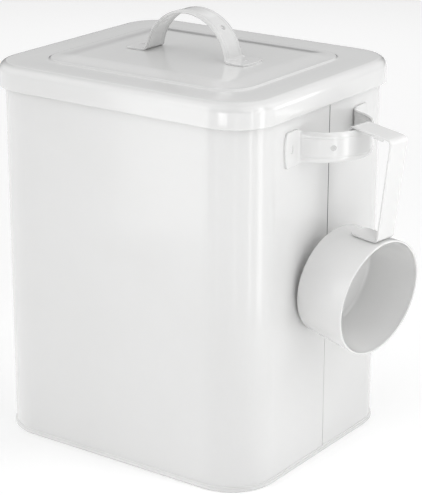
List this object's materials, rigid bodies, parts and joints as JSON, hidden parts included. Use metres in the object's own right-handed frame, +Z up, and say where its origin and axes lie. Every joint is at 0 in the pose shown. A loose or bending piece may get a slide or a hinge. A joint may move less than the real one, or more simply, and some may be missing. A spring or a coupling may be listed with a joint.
{
  "type": "laundry powder storage box",
  "caption": "Upright rectangular sheet steel storage tin with a slip-over lid, a bow strap handle, a strap bracket on one wall and a long-armed scoop hung on it.",
  "frame": {"origin": "middle of the tin's footprint, on the surface that it stands on", "axes": "+Z up along the tin's height, -Y the broad front, +X the wall that carries the bracket and scoop"},
  "size_m": [0.2385, 0.164, 0.2583],
  "materials": {
    "white_enamel": "gloss"
  },
  "bodies": {
    "tin": {"body_wrap": "white_enamel", "base_plate": "white_enamel", "wall_bracket": "white_enamel", "scoop_cup": "white_enamel", "scoop_arm": "white_enamel"},
    "lid": {"lid_shell": "white_enamel", "lid_handle": "white_enamel"}
  },
  "joints": [
    {"name": "lid_lift", "type": "slide", "parent": "tin", "child": "lid", "axis": [0, 0, 1], "range_m": [0, 0.08]}
  ]
}
